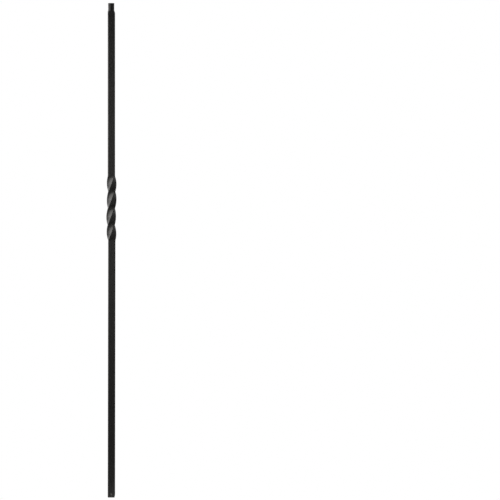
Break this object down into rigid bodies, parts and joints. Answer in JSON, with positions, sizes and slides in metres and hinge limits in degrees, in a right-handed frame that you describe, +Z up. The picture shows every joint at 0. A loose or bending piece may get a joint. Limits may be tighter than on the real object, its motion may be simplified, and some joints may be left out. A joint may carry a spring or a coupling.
{
  "type": "stair baluster",
  "caption": "Slender square iron stair baluster with a full rope-like twist near mid-height, a turned round pin at the top and a bevelled square foot.",
  "frame": {"origin": "middle of the foot's end face, on the bar's axis", "axes": "+Z up the bar towards the pin; X and Y square to the bar's flat faces"},
  "size_m": [0.0208, 0.0208, 1.0668],
  "materials": {
    "satin_black_iron": "satin black baked powder coat on iron"
  },
  "bodies": {
    "root": {"baluster": "satin_black_iron"}
  },
  "joints": []
}
